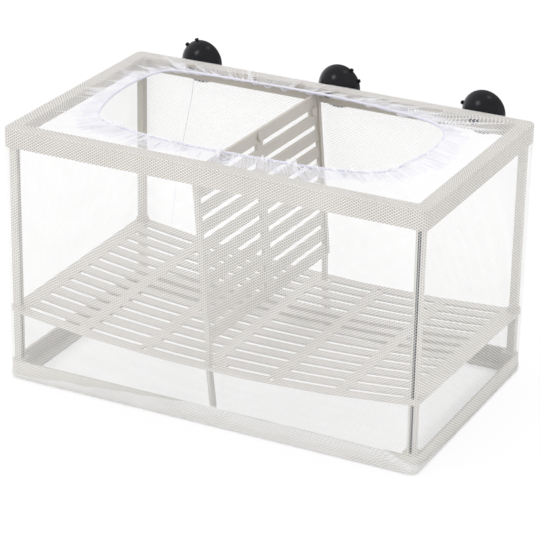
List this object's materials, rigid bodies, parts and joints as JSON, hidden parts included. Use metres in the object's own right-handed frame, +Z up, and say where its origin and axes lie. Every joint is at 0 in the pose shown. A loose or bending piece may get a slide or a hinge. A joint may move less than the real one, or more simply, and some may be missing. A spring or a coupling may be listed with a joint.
{
  "type": "fish breeding box",
  "caption": "Net-sided box with a plastic frame, elastic mouth, bowed slatted shelf, leaning slatted divider and suction cups behind its rear rail, for keeping fish apart inside an aquarium.",
  "frame": {"origin": "centre of the resting face under the box", "axes": "+X along the box's length to the right, +Y to the rear where the suction cups are, +Z up"},
  "size_m": [0.301, 0.1955, 0.1914],
  "materials": {
    "frame_plastic": "warm light grey, satin",
    "shelf_plastic": "warm light grey, satin",
    "black_rubber": "smooth black, slightly glossy",
    "net": "fine white knitted mesh",
    "seam_tape": "white sewn seam with a lavender cast",
    "elastic": "white elastic cord in its hem"
  },
  "bodies": {
    "box": {"top_frame": "frame_plastic", "base_frame": "frame_plastic", "post_front_left": "frame_plastic", "post_front_right": "frame_plastic", "post_rear_left": "frame_plastic", "post_rear_right": "frame_plastic", "net_front": "net", "net_rear": "net", "net_left": "net", "net_right": "net", "net_bottom": "net", "net_border": "net", "net_mouth": "net", "mouth_elastic": "elastic", "net_seam": "seam_tape", "net_base_seam": "seam_tape"},
    "shelf": {"shelf": "shelf_plastic"},
    "divider": {"divider": "shelf_plastic"},
    "cup_left": {"suction_cup_left": "black_rubber"},
    "cup_middle": {"suction_cup_middle": "black_rubber"},
    "cup_right": {"suction_cup_right": "black_rubber"}
  },
  "joints": [
    {"name": "shelf_height", "type": "slide", "parent": "box", "child": "shelf", "axis": [0, 0, 1], "range_m": [-0.02, 0.012]},
    {"name": "divider_lean", "type": "hinge", "parent": "box", "child": "divider", "pos_m": [-0.0005, 0, 0.038], "axis": [0, 1, 0], "range_deg": [0, 8.6]},
    {"name": "cup_turn_left", "type": "hinge", "parent": "box", "child": "cup_left", "pos_m": [-0.107, 0.09, 0.1747], "axis": [0, 1, 0], "continuous": true},
    {"name": "cup_turn_middle", "type": "hinge", "parent": "box", "child": "cup_middle", "pos_m": [0, 0.09, 0.1747], "axis": [0, 1, 0], "continuous": true},
    {"name": "cup_turn_right", "type": "hinge", "parent": "box", "child": "cup_right", "pos_m": [0.107, 0.09, 0.1747], "axis": [0, 1, 0], "continuous": true}
  ]
}
